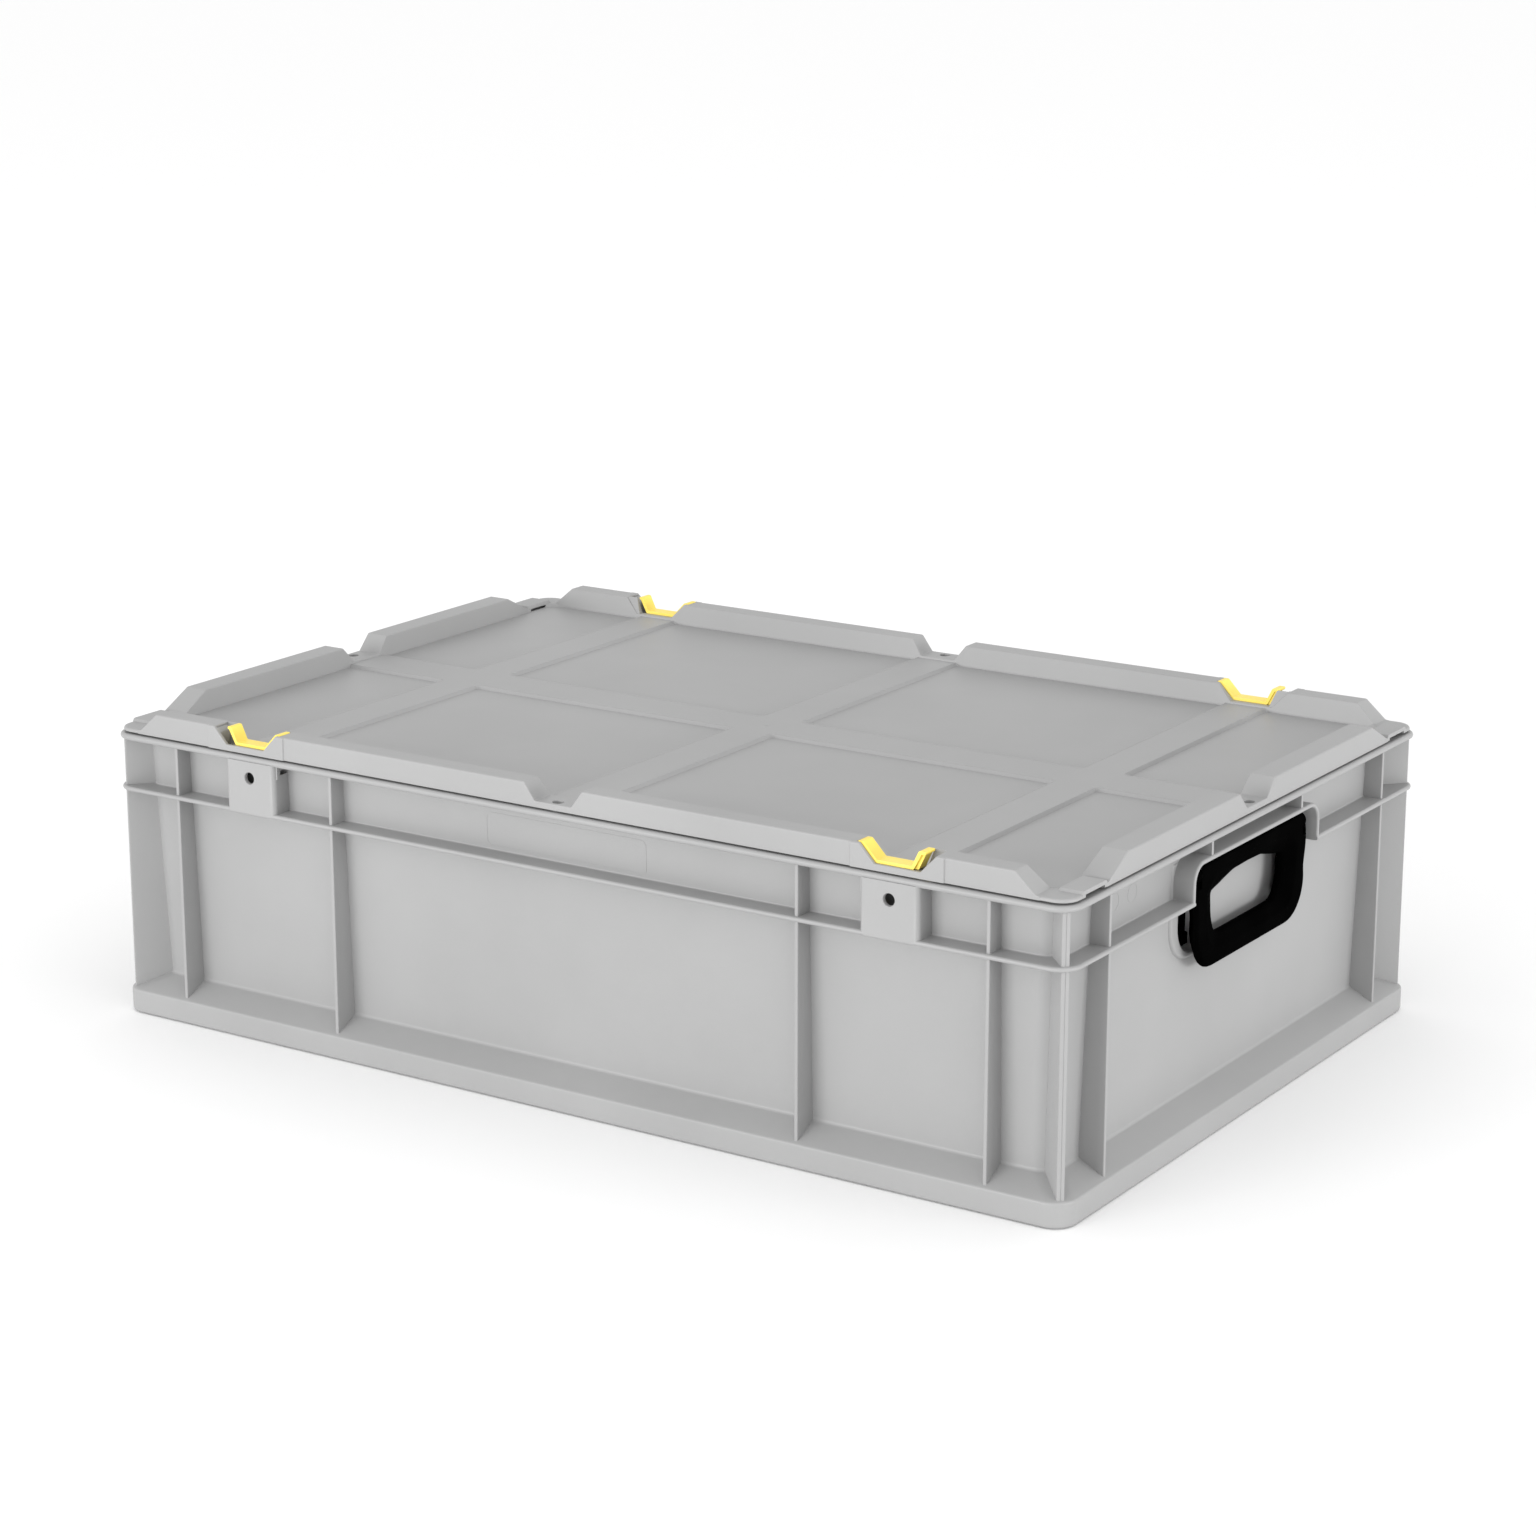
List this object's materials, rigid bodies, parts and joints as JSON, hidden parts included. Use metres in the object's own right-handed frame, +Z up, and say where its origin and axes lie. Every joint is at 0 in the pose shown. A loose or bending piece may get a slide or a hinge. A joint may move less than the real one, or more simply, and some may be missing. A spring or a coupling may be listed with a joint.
{
  "type": "stacking toolbox with tray",
  "caption": "Low rectangular plastic case with upright ribs, a ridged hinged lid with sliding latches, folding end grips, and a divided tray sliding on rails inside.",
  "frame": {"origin": "middle of the base, on the surface that the box stands on", "axes": "+X along the long side, +Y from the front (the side that opens) to the hinge side, +Z up"},
  "size_m": [0.6, 0.4, 0.1749],
  "materials": {
    "shell": "fine grained moulded light grey polypropylene",
    "latch": "satin moulded yellow plastic",
    "grip": "fine grained black moulded plastic",
    "steel": "zinc plated steel",
    "tray": "fine grained moulded mid grey polypropylene"
  },
  "bodies": {
    "box": {"box_body": "shell", "grip_mount_left": "grip", "grip_mount_right": "grip", "grip_pin_left_front": "steel", "grip_pin_left_rear": "steel", "grip_pin_right_front": "steel", "grip_pin_right_rear": "steel", "grip_screw_left_front": "steel", "grip_screw_left_rear": "steel", "grip_screw_right_front": "steel", "grip_screw_right_rear": "steel"},
    "lid": {"lid": "shell"},
    "latch_front_left": {"latch_front_left": "latch"},
    "latch_front_right": {"latch_front_right": "latch"},
    "latch_rear_left": {"latch_rear_left": "latch"},
    "latch_rear_right": {"latch_rear_right": "latch"},
    "grip_left": {"grip_left": "grip"},
    "grip_right": {"grip_right": "grip"},
    "tray": {"tray_body": "tray", "tray_divider_long": "tray", "tray_divider_cross_1": "tray", "tray_divider_cross_2": "tray"}
  },
  "joints": [
    {"name": "lid_hinge", "type": "hinge", "parent": "box", "child": "lid", "pos_m": [0, 0.1992, 0.1612], "axis": [-1, 0, 0], "range_deg": [0, 105]},
    {"name": "latch_front_left_slide", "type": "slide", "parent": "lid", "child": "latch_front_left", "axis": [-1, 0, 0], "range_m": [0, 0.004]},
    {"name": "latch_front_right_slide", "type": "slide", "parent": "lid", "child": "latch_front_right", "axis": [1, 0, 0], "range_m": [0, 0.004]},
    {"name": "latch_rear_left_slide", "type": "slide", "parent": "lid", "child": "latch_rear_left", "axis": [-1, 0, 0], "range_m": [0, 0.004]},
    {"name": "latch_rear_right_slide", "type": "slide", "parent": "lid", "child": "latch_rear_right", "axis": [1, 0, 0], "range_m": [0, 0.004]},
    {"name": "grip_left_hinge", "type": "hinge", "parent": "box", "child": "grip_left", "pos_m": [-0.2925, 0, 0.141], "axis": [0, 1, 0], "range_deg": [0, 90]},
    {"name": "grip_right_hinge", "type": "hinge", "parent": "box", "child": "grip_right", "pos_m": [0.2925, 0, 0.141], "axis": [0, -1, 0], "range_deg": [0, 90]},
    {"name": "tray_slide", "type": "slide", "parent": "box", "child": "tray", "axis": [1, 0, 0], "range_m": [0, 0.28]}
  ]
}
